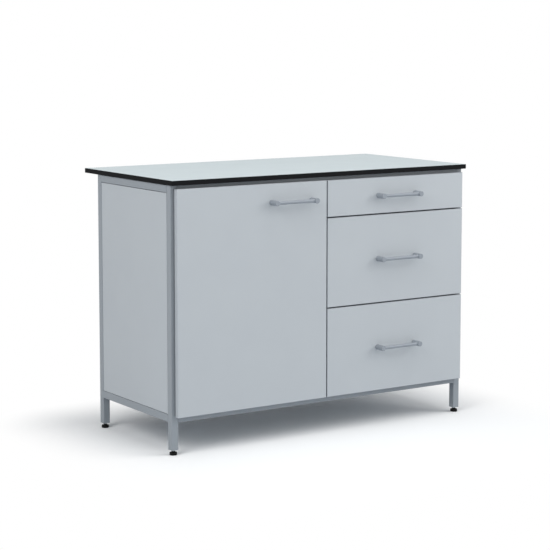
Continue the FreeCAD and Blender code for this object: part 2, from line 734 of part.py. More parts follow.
fill_sheet()
make_frame()
make_worktop()
group("welded_tabs", make_worktop_lugs() + make_board_tabs())
make_side_boards()
make_back_board()
make_floor_board()
make_partition()
make_shelf()
make_door()
make_drawers()
make_feet()
check_and_export()
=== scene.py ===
"""The looks of a laboratory table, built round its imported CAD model.

Sizes are in millimetres where a name or comment doesn't say otherwise, and MM turns them to metres.
X runs to the right along the front, Y to the back and Z up, as in the CAD model.
"""

import logging
import math
from collections.abc import Sequence
from dataclasses import dataclass, field, replace
from enum import Enum

import bmesh
import bpy
from mathutils import Matrix, Vector


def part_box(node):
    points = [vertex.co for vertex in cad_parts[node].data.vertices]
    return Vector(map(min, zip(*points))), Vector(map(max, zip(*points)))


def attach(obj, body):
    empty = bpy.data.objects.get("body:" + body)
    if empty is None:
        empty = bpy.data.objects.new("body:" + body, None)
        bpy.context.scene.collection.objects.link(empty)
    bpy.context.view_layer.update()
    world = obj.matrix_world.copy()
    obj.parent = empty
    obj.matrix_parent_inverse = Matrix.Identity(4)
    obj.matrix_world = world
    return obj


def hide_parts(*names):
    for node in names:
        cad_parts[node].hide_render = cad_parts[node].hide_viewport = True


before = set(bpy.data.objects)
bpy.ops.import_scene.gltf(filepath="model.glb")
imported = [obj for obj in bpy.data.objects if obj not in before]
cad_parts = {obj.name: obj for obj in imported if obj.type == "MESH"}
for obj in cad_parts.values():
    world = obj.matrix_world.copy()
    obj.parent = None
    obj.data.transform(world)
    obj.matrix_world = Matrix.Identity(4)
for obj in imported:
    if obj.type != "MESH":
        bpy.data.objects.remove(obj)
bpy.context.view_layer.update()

LOG = logging.getLogger("laboratory_table")
MM = 0.001
HAIR = 0.1
SMOOTH_ANGLE = math.radians(35)
CORNERS = (("left", "front"), ("right", "front"), ("left", "rear"), ("right", "rear"))
LEFT, RIGHT, TO_FRONT, TO_BACK, DOWN = (-1, 0, 0), (1, 0, 0), (0, -1, 0), (0, 1, 0), (0, 0, -1)

Node, Socket, Tree = bpy.types.Node, bpy.types.NodeSocket, bpy.types.NodeTree
Source = Node | Socket
Point = tuple[float, float, float]
Pairs = list[tuple[Point, Point]]
Profile = Sequence[tuple[float, float]]
Ring = list[bmesh.types.BMVert]


class Body(Enum):
    """The bodies of the CAD model that several pieces ride on."""

    CARCASE = "carcase"
    DOOR = "door"


class Slot(Enum):
    """The record's material slots that the new pieces' finishes belong to."""

    WORKTOP = "worktop_laminate"
    FRAME = "frame_paint"
    HANDLE = "handle_metal"
    ZINC = "zinc_steel"
    PLASTIC = "black_plastic"


class Tier(Enum):
    """The drawers from the top down, with each box front's screw heights over its lower edge."""

    TOP = ("top", (22.0, 60.0))
    MIDDLE = ("middle", (30.0, 180.0))
    BOTTOM = ("bottom", (30.0, 180.0))

    def __init__(self, label: str, rises: tuple[float, float]) -> None:
        """Keep the label, the bodies that it names and the screws' heights."""
        self.label, self.rises = label, rises
        self.drawer, self.slide = f"{label}_drawer", f"{label}_slide"


# Node trees


def linear(colour: str) -> tuple[float, float, float, float]:
    """Turn an sRGB colour to the linear one that Blender works in.

    Args:
        colour: six hex digits after a hash sign.

    Returns:
        Red, green, blue and an alpha of one.
    """
    parts = [int(colour[i : i + 2], 16) / 255 for i in (1, 3, 5)]
    return (*(c / 12.92 if c <= 0.04045 else ((c + 0.055) / 1.055) ** 2.4 for c in parts), 1.0)


def feed(tree: Tree, socket: Socket, source: object) -> None:
    """Give an input its value or its link.

    Args:
        tree: the tree that the input is in.
        socket: the input.
        source: a value, an output, or a node whose first output in use is meant.
    """
    if isinstance(source, Node):
        source = next(socket for socket in source.outputs if socket.enabled)
    if isinstance(source, Socket):
        tree.links.new(source, socket)
    else:
        socket.default_value = source


def add_node(tree: Tree, kind: str, inputs: dict | None = None, **settings: object) -> Node:
    """Add one node with its settings, its fixed values and its links.

    Args:
        tree: the tree that gets the node.
        kind: the node's type, as Blender names it.
        inputs: what feeds each input, by the input's identifier or name.
        settings: the node's own properties.

    Returns:
        The new node.
    """
    made = tree.nodes.new(kind)
    for name, value in settings.items():
        setattr(made, name, value)
    for key, source in (inputs or {}).items():
        known = [socket for socket in made.inputs if socket.identifier == key]
        feed(tree, known[0] if known else made.inputs[key], source)
    return made


def output(made: Node, key: str) -> Socket:
    """One of a node's outputs, by its identifier."""
    return next(socket for socket in made.outputs if socket.identifier == key)


def empty_tree(owner: bpy.types.Material | bpy.types.World) -> Tree:
    """Switch the nodes of a material or a world on, and take out the ones that it comes with."""
    owner.use_nodes = True
    owner.node_tree.nodes.clear()
    return owner.node_tree


# Finishes


@dataclass(frozen=True)
class Finish:
    """What every finish has: a name, a colour that may drift, a shine and a fine relief."""

    name: str
    colour: str
    roughness: float
    grain: float
    depth: float
    ior: float = 1.5
    gloss: float = 0.5
    metallic: float = 0.0
    cloud: str = ""
    cloud_size: float = 60.0
    cloud_share: float = 0.5

    def material(self) -> bpy.types.Material:
        """The finish as a material, made once."""
        return bpy.data.materials.get(self.name) or self.make()

    def make(self) -> bpy.types.Material:
        """Build the material's nodes.

        Returns:
            A material with the plain values, the fine relief and what this kind of finish adds.
        """
        made = bpy.data.materials.new(self.name)
        made.diffuse_color = linear(self.colour)
        tree = empty_tree(made)
        plain = {"Base Color": linear(self.colour), "Metallic": self.metallic, "IOR": self.ior}
        plain |= {"Roughness": self.roughness, "Specular IOR Level": self.gloss}
        shader = add_node(tree, "ShaderNodeBsdfPrincipled", plain)
        add_node(tree, "ShaderNodeOutputMaterial", {"Surface": shader})
        place = output(add_node(tree, "ShaderNodeTexCoord"), "Object")
        for key, source in self.looks(tree, place).items():
            feed(tree, shader.inputs[key], source)
        size = {"Vector": place, "Scale": 1 / (self.grain * MM), "Detail": 2.0}
        relief = {"Height": add_node(tree, "ShaderNodeTexNoise", size)}
        relief |= {"Distance": self.depth * MM, "Strength": 1.0}
        feed(tree, shader.inputs["Normal"], add_node(tree, "ShaderNodeBump", relief))
        return made

    def looks(self, tree: Tree, place: Socket) -> dict[str, Source]:
        """What feeds the shader's inputs, read from the place: here the colour, if it drifts."""
        return {"Base Color": self.clouded(tree, place)} if self.cloud else {}

    @staticmethod
    def drifting(tree: Tree, place: Socket, size: float, low: float, high: float) -> Node:
        """Let a value drift slowly from place to place.

        Args:
            tree: the material's tree.
            place: the coordinates that it reads.
            size: how wide a cloud is.
            low: the value between the clouds.
            high: the value in a cloud's middle.

        Returns:
            The node that gives the value.
        """
        noise = {"Vector": place, "Scale": 1 / (size * MM), "Detail": 3.0}
        spread = {"Value": add_node(tree, "ShaderNodeTexNoise", noise)}
        spread |= {"From Min": 0.3, "From Max": 0.7, "To Min": low, "To Max": high}
        return add_node(tree, "ShaderNodeMapRange", spread)

    def clouded(self, tree: Tree, place: Socket) -> Node:
        """Let the colour drift slowly towards the clouds' colour.

        Args:
            tree: the material's tree.
            place: the coordinates that it reads.

        Returns:
            The node that gives the colour.
        """
        tones = {"A_Color": linear(self.colour), "B_Color": linear(self.cloud)}
        tones["Factor_Float"] = self.drifting(tree, place, self.cloud_size, 0.0, self.cloud_share)
        return add_node(tree, "ShaderNodeMix", tones, data_type="RGBA")


@dataclass(frozen=True)
class LaminateFace(Finish):
    """The pale decor sheet of solid laminate, with the fine soft pearl of its press plate."""

    cloud: str = "#B3C0C4"
    cloud_size: float = 90.0


@dataclass(frozen=True)
class LaminateCore(Finish):
    """The sawn edge of solid laminate: pressed paper, black right through, in faint layers."""

    layer_colour: str = "#1F1F20"
    layer: float = 0.8
    squeeze: Point = (0.02, 0.02, 1.0)

    def looks(self, tree: Tree, place: Socket) -> dict[str, Source]:
        """What feeds the shader's inputs.

        Args:
            tree: the material's tree.
            place: the coordinates that it reads.

        Returns:
            A colour in thin level layers.
        """
        flat = add_node(tree, "ShaderNodeMapping", {"Vector": place, "Scale": self.squeeze})
        noise = {"Vector": flat, "Scale": 1 / (self.layer * MM), "Detail": 1.0}
        tones = {"A_Color": linear(self.colour), "B_Color": linear(self.layer_colour)}
        tones["Factor_Float"] = add_node(tree, "ShaderNodeTexNoise", noise)
        return {"Base Color": add_node(tree, "ShaderNodeMix", tones, data_type="RGBA")}


@dataclass(frozen=True)
class PowderCoat(Finish):
    """Polyester powder, sprayed on the welded frame and baked: satin, with a faint orange peel."""

    cloud: str = "#8F969C"
    cloud_share: float = 0.6


@dataclass(frozen=True)
class FacedBoard(Finish):
    """Chipboard faced with melamine paper, its edges banded with plastic.

    The face is matt with a fine pearl. The band is a little smoother, and a fine glue line parts
    the two. A face that has no band shows the pressed chips.
    """

    cloud: str = "#B6BBBF"
    cloud_size: float = 120.0
    cloud_share: float = 0.35
    low: Point = (0.0, 0.0, 0.0)
    high: Point = (1.0, 1.0, 1.0)
    thin: int = 1
    raw: tuple[str, ...] = ()
    band: float = 1.0
    band_colour: str = "#B6BBBF"
    band_shine: float = 0.1
    glue: str = "#9AA1A7"
    chip: str = "#B4935F"
    chip_dark: str = "#7E5F3B"
    chip_size: float = 2.5

    def looks(self, tree: Tree, place: Socket) -> dict[str, Source]:
        """What feeds the shader's inputs, the band told from the face by its distance to the edge.

        Args:
            tree: the material's tree.
            place: the coordinates that it reads.

        Returns:
            The colour and the roughness.
        """
        low, high = Vector(self.low), Vector(self.high)
        away = {"Vector": place, "Vector_001": low.lerp(high, 0.5) * MM}
        away = {"Vector": add_node(tree, "ShaderNodeVectorMath", away, operation="SUBTRACT")}
        away = add_node(tree, "ShaderNodeVectorMath", away, operation="ABSOLUTE")
        inset = {"Vector": (high - low) / 2 * MM, "Vector_001": away}
        inset = add_node(tree, "ShaderNodeVectorMath", inset, operation="SUBTRACT")
        parts = add_node(tree, "ShaderNodeSeparateXYZ", {"Vector": inset}).outputs
        first, second = (parts[axis] for axis in range(3) if axis != self.thin)
        nearer = {"Value": first, "Value_001": second}
        edge = add_node(tree, "ShaderNodeMath", nearer, operation="MINIMUM")
        within = {"Value": edge, "Value_001": self.band * MM}
        banded = add_node(tree, "ShaderNodeMath", within, operation="LESS_THAN")
        beside = {"Value": edge, "Value_001": (self.band + HAIR) * MM, "Value_002": HAIR * MM}
        seam = add_node(tree, "ShaderNodeMath", beside, operation="COMPARE")
        colour = self.clouded(tree, place)
        # On the drawer fronts the band's colour is painted shade for the gaps between them;
        # elsewhere it is the band's own colour.
        layers = [(banded, linear(self.band_colour)), (seam, linear(self.glue))]
        for mask, other in layers + (self.bare(tree, place) if self.raw else []):
            tones = {"Factor_Float": mask, "A_Color": colour, "B_Color": other}
            colour = add_node(tree, "ShaderNodeMix", tones, data_type="RGBA")
        shine = {"To Min": self.roughness, "To Max": self.roughness - self.band_shine}
        shine = add_node(tree, "ShaderNodeMapRange", {"Value": banded, **shine})
        return {"Base Color": colour, "Roughness": shine}

    def bare(self, tree: Tree, place: Socket) -> list[tuple[Node, Node]]:
        """Let the pressed chips show on the faces that have no band.

        Args:
            tree: the material's tree.
            place: the coordinates that it reads.

        Returns:
            For each such face, what tells it from the rest and what gives the chips' colour.
        """
        size = {"Vector": place, "Scale": 1 / (self.chip_size * MM)}
        cells = output(add_node(tree, "ShaderNodeTexVoronoi", size), "Color")
        tones = {"A_Color": linear(self.chip), "B_Color": linear(self.chip_dark)}
        tones["Factor_Float"] = add_node(tree, "ShaderNodeSeparateColor", {"Color": cells})
        chips = add_node(tree, "ShaderNodeMix", tones, data_type="RGBA")
        parts = add_node(tree, "ShaderNodeSeparateXYZ", {"Vector": place}).outputs
        found = []
        for sign, letter in self.raw:
            axis, lower = "XYZ".index(letter), sign == "-"
            plane = self.low[axis] + HAIR if lower else self.high[axis] - HAIR
            beyond = {"Value": parts[axis], "Value_001": plane * MM}
            test = "LESS_THAN" if lower else "GREATER_THAN"
            found.append((add_node(tree, "ShaderNodeMath", beyond, operation=test), chips))
        return found


@dataclass(frozen=True)
class Hardboard(Finish):
    """Thin fibreboard, lacquered pale on its upper face, with its brown fibres bare underneath."""

    cloud: str = "#CFD2D2"
    cloud_size: float = 40.0
    fibre: str = "#8A6642"
    top: float = 0.0

    def looks(self, tree: Tree, place: Socket) -> dict[str, Source]:
        """What feeds the shader's inputs, the lacquered face told by its height.

        Args:
            tree: the material's tree.
            place: the coordinates that it reads.

        Returns:
            The colour.
        """
        height = output(add_node(tree, "ShaderNodeSeparateXYZ", {"Vector": place}), "Z")
        above = {"Value": height, "Value_001": (self.top - HAIR) * MM}
        tones = {"A_Color": linear(self.fibre), "B_Color": self.clouded(tree, place)}
        tones["Factor_Float"] = add_node(tree, "ShaderNodeMath", above, operation="GREATER_THAN")
        return {"Base Color": add_node(tree, "ShaderNodeMix", tones, data_type="RGBA")}


@dataclass(frozen=True)
class Metal(Finish):
    """Bare or plated metal: its shine drifts a little from place to place."""

    metallic: float = 1.0
    drift: float = 0.08
    drift_size: float = 12.0

    def looks(self, tree: Tree, place: Socket) -> dict[str, Source]:
        """What feeds the shader's inputs, read from the place: a roughness that drifts."""
        span = self.roughness - self.drift, self.roughness + self.drift
        return {"Roughness": self.drifting(tree, place, self.drift_size, *span)}


@dataclass(frozen=True)
class FlakeLacquer(Finish):
    """Lacquer full of fine aluminium flakes: partly a mirror and mostly a haze."""

    metallic: float = 0.3


# The press plate's pearl is about 0.5 mm wide, and drawn at 1.2 mm so that it shows.
LAMINATE_FACE = LaminateFace("compact laminate face", "#BAC6C9", 0.45, 1.2, 0.015)
LAMINATE_CORE = LaminateCore("compact laminate core", "#0F1012", 0.65, 0.9, 0.02, gloss=0.05)
# Orange peel is 1 to 2 mm wide.
POWDER_COAT = PowderCoat("powder-coated steel", "#93999E", 0.42, 1.6, 0.03)
# Cast and lacquered zinc is nearly smooth, and its flakes are too fine to show one by one.
SILVER_LACQUER = FlakeLacquer(
    "silver-lacquered zinc casting", "#9399A0", 0.6, 0.6, 0.004, gloss=0.25
)
# Zinc plating on rolled sheet is bright in clouds a few centimetres wide.
ZINC = Metal("zinc-plated rolled steel", "#B4B9BE", 0.34, 2.0, 0.001, drift=0.05, drift_size=30.0)
CHROME_STEEL = Metal("polished steel balls", "#C4C6C8", 0.12, 1.0, 0.001, drift=0.03)
# Spark-eroded moulds leave a grain of about 0.4 mm, drawn at 0.8 mm.
POLYAMIDE = Finish("moulded black polyamide", "#070708", 0.6, 0.8, 0.01, 1.53, gloss=0.15)
RUBBER = Finish("moulded grey rubber", "#6E7276", 0.7, 0.8, 0.02, 1.52)
ACETAL = Finish("moulded white acetal", "#D9DAD6", 0.4, 0.8, 0.01, 1.48)
# Foam shows its cut cells, and is dull all over.
FOAM = Finish("closed-cell foam strip", "#2B2D30", 0.85, 0.8, 0.02, 1.5, gloss=0.1)
# The carcase's boards and the fronts, the drawers' boxes, fronts' bands and bases. The drawer
# fronts' bands are darker than their faces: painted shade, which deepens the gaps between the
# drawers.
BOARD_COLOUR = "#BBC0C3"
DRAWER_COLOUR = "#CDD0D1"
DRAWER_FRONT_BAND_GAP_SHADE = "#959A9F"
BASE_COLOUR = "#D5D8D8"


def box_of(node: str) -> tuple[Vector, Vector]:
    """A CAD node's lowest and highest corner, in millimetres."""
    low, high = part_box(node)
    return low / MM, high / MM


def board(
    node: str, thin: str, colour: str = BOARD_COLOUR, raw: tuple[str, ...] = ()
) -> FacedBoard:
    """The finish of one board, with its edges where the CAD node's are.

    Args:
        node: the CAD node's name.
        thin: the axis across the board's thickness.
        colour: the face's colour.
        raw: the sides without a band, such as "-Z".

    Returns:
        The board's finish.
    """
    low, high = (tuple(corner) for corner in box_of(node))
    finish = FacedBoard(f"melamine-faced chipboard {node}", colour, 0.5, 1.3, 0.02)
    return replace(finish, low=low, high=high, thin="XYZ".index(thin), raw=raw)


# Meshes


def show(data: bpy.types.Mesh | bpy.types.Light | bpy.types.Camera) -> bpy.types.Object:
    """Put a mesh, a lamp or a camera into the scene, as an object of the same name."""
    made = bpy.data.objects.new(data.name, data)
    bpy.context.scene.collection.objects.link(made)
    return made


def dress(piece: bpy.types.Object, body: str, slot: Slot, *replaces: str) -> None:
    """Give a new piece its body, and hide the CAD nodes that it stands for.

    Args:
        piece: the piece.
        body: the CAD body that it rides on.
        slot: the record's slot that its finish belongs to; not used.
        replaces: the CAD nodes that it stands for.
    """
    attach(piece, body)
    if replaces:
        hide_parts(*replaces)
    LOG.info("%s rides on %s, %d faces", piece.name, body, len(piece.data.polygons))


def paint(node: str, finish: Finish) -> None:
    """Give a CAD node its finish.

    Args:
        node: the CAD node's name.
        finish: its finish.
    """
    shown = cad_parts[node]
    if not shown.material_slots:
        shown.data.materials.append(None)
    for place in shown.material_slots:
        place.material = finish.material()
    LOG.info("%s is %s", node, finish.name)


def smooth(mesh: bpy.types.Mesh) -> None:
    """Shade a mesh smoothly, but for its sharp edges."""
    mesh.shade_smooth()
    mesh.set_sharp_from_angle(angle=SMOOTH_ANGLE)


def quarter(middle: tuple[float, float], radius: float, start: float, steps: int) -> Profile:
    """A quarter of a circle.

    Args:
        middle: the circle's middle.
        radius: its radius.
        start: the angle in degrees that it starts at, to go on anticlockwise.
        steps: how many steps it takes.

    Returns:
        The points from its start to its end.
    """
    turns = [math.radians(start + 90 * step / steps) for step in range(steps + 1)]
    x, y = middle
    return [(x + radius * math.cos(turn), y + radius * math.sin(turn)) for turn in turns]


class Shape:
    """Closed parts gathered into one mesh, in millimetres."""

    def __init__(self) -> None:
        """Start with nothing."""
        self.mesh = bmesh.new()

    def ring(self, outline: Profile, height: float, place: Matrix) -> Ring:
        """Add the points of a closed outline.

        Args:
            outline: the angle in degrees and the radius of each point.
            height: how high the outline lies.
            place: where it goes.

        Returns:
            The points.
        """
        made = []
        for angle, radius in outline:
            turn = math.radians(angle)
            spot = Vector((radius * math.cos(turn), radius * math.sin(turn), height))
            made.append(self.mesh.verts.new(place @ spot))
        return made

    def bridge(self, lower: Ring, upper: Ring) -> None:
        """Join two rings by faces, with a ring of one point as a tip.

        Args:
            lower: one ring.
            upper: the other ring.
        """
        for i in range(max(len(lower), len(upper))):
            way = (lower, i), (lower, i + 1), (upper, i + 1), (upper, i)
            corners = [ring[k % len(ring)] for ring, k in way]
            self.mesh.faces.new(list(dict.fromkeys(corners)))

    def lathe(self, profile: Profile, place: Matrix, segments: int = 40) -> None:
        """Turn a profile round the Z axis.

        Args:
            profile: radius and height of each point, from the axis round to the axis again.
            place: where it goes.
            segments: how many sides the turned part has.
        """
        rings = []
        for radius, height in profile:
            count = segments if radius else 1
            outline = [(360 * i / count, radius) for i in range(count)]
            rings.append(self.ring(outline, height, place))
        for lower, upper in zip(rings, rings[1:]):
            self.bridge(lower, upper)

    def block(self, low: Vector, high: Vector, bevel: float = 0.0, segments: int = 2) -> None:
        """Add a block, its edges rounded.

        Args:
            low: its lowest corner.
            high: its highest corner.
            bevel: the radius of its edges.
            segments: the faces across each rounded edge.
        """
        place = Matrix.LocRotScale((low + high) / 2, None, high - low)
        made = bmesh.ops.create_cube(self.mesh, size=1.0, matrix=place)["verts"]
        if bevel:
            edges = list({edge for vert in made for edge in vert.link_edges})
            look = {"segments": segments, "profile": 0.5, "affect": "EDGES"}
            bmesh.ops.bevel(self.mesh, geom=edges, offset=bevel, **look)

    def data(self, name: str) -> bpy.types.Mesh:
        """The finished mesh, in metres, with faces outwards and sharp edges kept.

        Args:
            name: the mesh's name.

        Returns:
            The mesh.
        """
        bmesh.ops.recalc_face_normals(self.mesh, faces=self.mesh.faces)
        made = bpy.data.meshes.new(name)
        self.mesh.to_mesh(made)
        self.mesh.free()
        made.transform(Matrix.Scale(MM, 4))
        smooth(made)
        return made

    def piece(self, name: str, body: str, slot: Slot, finish: Finish, *replaces: str) -> None:
        """Put the shape into the scene as a new piece.

        Args:
            name: the piece's name.
            body: the CAD body that it rides on.
            slot: the record's slot that its finish belongs to.
            finish: its finish.
            replaces: the CAD nodes that it stands for.
        """
        made = self.data(name)
        made.materials.append(finish.material())
        dress(show(made), body, slot, *replaces)


# What repeats


class Pattern:
    """A Geometry Nodes tree with named inputs, run on a host mesh to make a plain piece."""

    SOCKETS: dict[str, str] = {}

    def __init__(self) -> None:
        """Make the tree with its sockets, and let the pattern fill it."""
        self.tree = bpy.data.node_groups.new(type(self).__name__, "GeometryNodeTree")
        sockets = {"Host": "Geometry", "Finish": "Material", **self.SOCKETS}
        interface = self.tree.interface
        for label, kind in sockets.items():
            interface.new_socket(label, in_out="INPUT", socket_type=f"NodeSocket{kind}")
        interface.new_socket("Piece", in_out="OUTPUT", socket_type="NodeSocketGeometry")
        self.given = add_node(self.tree, "NodeGroupInput").outputs
        real = add_node(self.tree, "GeometryNodeRealizeInstances", {"Geometry": self.fill()})
        coated = {"Geometry": real, "Material": self.given["Finish"]}
        coated = add_node(self.tree, "GeometryNodeSetMaterial", coated)
        add_node(self.tree, "NodeGroupOutput", {"Piece": coated})

    def fill(self) -> Node:
        """Build the pattern's own nodes.

        Returns:
            The node that gives the geometry.
        """
        raise NotImplementedError

    def run(
        self,
        name: str,
        host: bpy.types.Mesh,
        finish: Finish,
        body: str,
        slot: Slot,
        values: dict[str, object],
    ) -> None:
        """Run the tree on a host and keep what it makes as a new piece with a plain mesh.

        Args:
            name: the piece's name.
            host: the mesh that it starts from.
            finish: the piece's finish.
            body: the CAD body that it rides on.
            slot: the record's slot that its finish belongs to.
            values: the values of the tree's inputs, by their names.
        """
        holder = show(host)
        tool = holder.modifiers.new("pattern", "NODES")
        tool.node_group = self.tree
        given = {**values, "Finish": finish.material()}
        for item in self.tree.interface.items_tree:
            if item.in_out == "INPUT" and item.name in given:
                tool[item.identifier] = given[item.name]
        graph = bpy.context.evaluated_depsgraph_get()
        made = bpy.data.meshes.new_from_object(holder.evaluated_get(graph))
        holder.modifiers.remove(tool)
        bpy.data.objects.remove(holder)
        made.name = name
        smooth(made)
        dress(show(made), body, slot)


class Screws(Pattern):
    """A fastener on each of the host's points, along the point's axis and turned by chance."""

    SOCKETS = {"Fastener": "Object", "Turn Seed": "Int"}

    def fill(self) -> Node:
        """Set the fastener on the host's points.

        Returns:
            The node that gives the fasteners.
        """
        tree, given = self.tree, self.given
        fastener = add_node(tree, "GeometryNodeObjectInfo", {"Object": given["Fastener"]})
        axis = add_node(
            tree, "GeometryNodeInputNamedAttribute", {"Name": "axis"}, data_type="FLOAT_VECTOR"
        )
        way = {"Vector": axis}
        upright = add_node(tree, "FunctionNodeAlignRotationToVector", way, axis="Z")
        chance = {"Max_001": 2 * math.pi, "Seed": given["Turn Seed"]}
        turn = {"Axis": (0, 0, 1)}
        turn["Angle"] = add_node(tree, "FunctionNodeRandomValue", chance, data_type="FLOAT")
        turned = {"Rotation": upright}
        turned["Rotate By"] = add_node(tree, "FunctionNodeAxisAngleToRotation", turn)
        placed = {"Points": given["Host"], "Instance": output(fastener, "Geometry")}
        placed["Rotation"] = add_node(
            tree, "FunctionNodeRotateRotation", turned, rotation_space="LOCAL"
        )
        return add_node(tree, "GeometryNodeInstanceOnPoints", placed)


class Balls(Pattern):
    """Balls in a row along each of the host's edges."""

    SOCKETS = {"Step": "Float", "Radius": "Float"}

    def fill(self) -> Node:
        """Set balls along the host's edges.

        Returns:
            The node that gives the balls.
        """
        tree, given = self.tree, self.given
        path = {"Curve": add_node(tree, "GeometryNodeMeshToCurve", {"Mesh": given["Host"]})}
        path["Length"] = given["Step"]
        ball = {"Radius": given["Radius"], "Subdivisions": 2}
        laid = {"Points": add_node(tree, "GeometryNodeResampleCurve", path, mode="LENGTH")}
        laid["Instance"] = add_node(tree, "GeometryNodeMeshIcoSphere", ball)
        return add_node(tree, "GeometryNodeInstanceOnPoints", laid | self.varied())

    def varied(self) -> dict[str, Source]:
        """How the balls are turned and scaled: not at all."""
        return {}


class WeldBeads(Balls):
    """A weld bead along each of the host's edges: overlapping ripples of varied size."""

    SOCKETS = {**Balls.SOCKETS, "Chance Seed": "Int"}
    SPREAD = {"Min_001": 0.9, "Max_001": 1.08}

    def varied(self) -> dict[str, Source]:
        """How the ripples are turned and scaled.

        Returns:
            Their rotation along the seam and their size by chance.
        """
        tree = self.tree
        along = {"Vector": add_node(tree, "GeometryNodeInputTangent")}
        facing = add_node(tree, "FunctionNodeAlignRotationToVector", along, axis="Z")
        chance = {**self.SPREAD, "Seed": self.given["Chance Seed"]}
        size = add_node(tree, "FunctionNodeRandomValue", chance, data_type="FLOAT")
        return {"Rotation": facing, "Scale": size}


class Thread(Pattern):
    """A threaded stud upon each of the host's points: a core with a ridge wound round it."""

    SOCKETS = {"Length": "Float", "Pitch": "Float", "Crest": "Float"}
    RIDGE = 0.35
    SUMS = (
        ("ridge", "MULTIPLY", "Pitch", RIDGE),
        ("root", "SUBTRACT", "Crest", "ridge"),
        ("ends", "MULTIPLY", "Pitch", 2.0),
        ("wound", "SUBTRACT", "Length", "ends"),
        ("turns", "DIVIDE", "wound", "Pitch"),
        ("middle", "MULTIPLY", "Length", 0.5),
    )

    def fill(self) -> Node:
        """Wind a three-sided ridge round a core.

        Returns:
            The node that gives the studs.
        """
        tree = self.tree
        size: dict[str, Source] = {name: self.given[name] for name in self.SOCKETS}
        for name, operation, first, second in self.SUMS:
            pair = {"Value": size[first], "Value_001": size.get(second, second)}
            size[name] = add_node(tree, "ShaderNodeMath", pair, operation=operation)
        spiral = {"Resolution": 20, "Rotations": size["turns"], "Height": size["wound"]}
        spiral |= {"Start Radius": size["root"], "End Radius": size["root"]}
        section = {"Resolution": 3, "Radius": size["ridge"]}
        winding = {"Curve": add_node(tree, "GeometryNodeCurveSpiral", spiral), "Fill Caps": True}
        winding["Profile Curve"] = add_node(tree, "GeometryNodeCurvePrimitiveCircle", section)
        winding = add_node(tree, "GeometryNodeCurveToMesh", winding)
        core = {"Vertices": 24, "Radius": size["root"], "Depth": size["Length"]}
        core = add_node(tree, "GeometryNodeMeshCylinder", core)
        stud = add_node(tree, "GeometryNodeJoinGeometry")
        for part, height in ((core, "middle"), (winding, "Pitch")):
            raised = {"Geometry": part}
            raised["Translation"] = add_node(tree, "ShaderNodeCombineXYZ", {"Z": size[height]})
            feed(tree, stud.inputs[0], add_node(tree, "GeometryNodeTransform", raised))
        placed = {"Points": self.given["Host"], "Instance": stud}
        return add_node(tree, "GeometryNodeInstanceOnPoints", placed)


@dataclass(frozen=True)
class Fastener:
    """A screw's head with a cross recess, and its washer where it has one."""

    radius: float
    height: float
    washer: float = 0.0
    washer_thick: float = 1.0
    segments: int = 24
    dome: Profile = ((1.0, 0.0), (1.0, 0.4), (0.9, 0.72), (0.66, 0.94), (0.56, 1.0))
    recess: Profile = ((-17, 0.46), (17, 0.46), (45, 0.19))
    recess_taper: float = 0.8
    recess_floor: float = 0.3

    def mesh(self, name: str) -> bpy.types.Mesh:
        """Build the head, standing on the origin.

        Args:
            name: the mesh's name.

        Returns:
            The head's mesh.
        """
        shape, upright = Shape(), Matrix.Identity(4)
        foot = self.washer_thick if self.washer else 0.0
        if self.washer:
            rim = [(0, 0), (self.washer, 0), (self.washer, foot), (0, foot)]
            shape.lathe(rim, upright, self.segments)
        rings = []
        for share, rise in self.dome:
            around = [(360 * i / self.segments, share * self.radius) for i in range(self.segments)]
            rings.append(shape.ring(around, foot + rise * self.height, upright))
        for lower, upper in zip(rings, rings[1:]):
            shape.bridge(lower, upper)
        shape.mesh.faces.new(list(reversed(rings[0])))
        levels = []
        for taper, rise in ((1.0, 1.0), (self.recess_taper, self.recess_floor)):
            cross = [
                (90 * arm + turn, taper * share * self.radius)
                for arm in range(4)
                for turn, share in self.recess
            ]
            levels.append(shape.ring(cross, foot + rise * self.height, upright))
        brim, sole = levels
        shape.bridge(brim, sole)
        shape.mesh.faces.new(sole)
        pairs = [pair for ring in (rings[-1], brim) for pair in zip(ring, ring[1:] + ring[:1])]
        loops = [shape.mesh.edges.get(pair) for pair in pairs]
        bmesh.ops.triangle_fill(shape.mesh, edges=loops, use_beauty=True)
        return shape.data(name)


@dataclass
class Toolbox:
    """The patterns, each made once, and the fasteners' heads that they set."""

    screws: Screws = field(default_factory=Screws)
    beads: WeldBeads = field(default_factory=WeldBeads)
    balls: Balls = field(default_factory=Balls)
    thread: Thread = field(default_factory=Thread)
    seed: int = 11

    def fasten(self, name: str, body: str, kind: Fastener, spots: Pairs) -> None:
        """Set screws of one kind, as one piece.

        Args:
            name: the piece's name.
            body: the CAD body that they ride on.
            kind: their kind.
            spots: where each head stands and which way it points.
        """
        host = bpy.data.meshes.new(f"{name}_spots")
        host.from_pydata([Vector(place) * MM for place, _ in spots], [], [])
        axes = host.attributes.new("axis", "FLOAT_VECTOR", "POINT")
        axes.data.foreach_set("vector", [part for _, way in spots for part in way])
        head = show(kind.mesh(f"{name}_head"))
        values = {"Fastener": head, "Turn Seed": self.seed}
        self.screws.run(name, host, ZINC, body, Slot.ZINC, values)
        bpy.data.objects.remove(head)

    @staticmethod
    def lines(name: str, ends: Pairs) -> bpy.types.Mesh:
        """A host mesh of straight lines.

        Args:
            name: the mesh's name.
            ends: the two ends of each line.

        Returns:
            The mesh.
        """
        host = bpy.data.meshes.new(name)
        points = [Vector(point) * MM for pair in ends for point in pair]
        host.from_pydata(points, [(2 * i, 2 * i + 1) for i in range(len(ends))], [])
        return host


# Sub-assemblies


@dataclass
class Assembly:
    """A sub-assembly, with the tools that it is built with."""

    tools: Toolbox


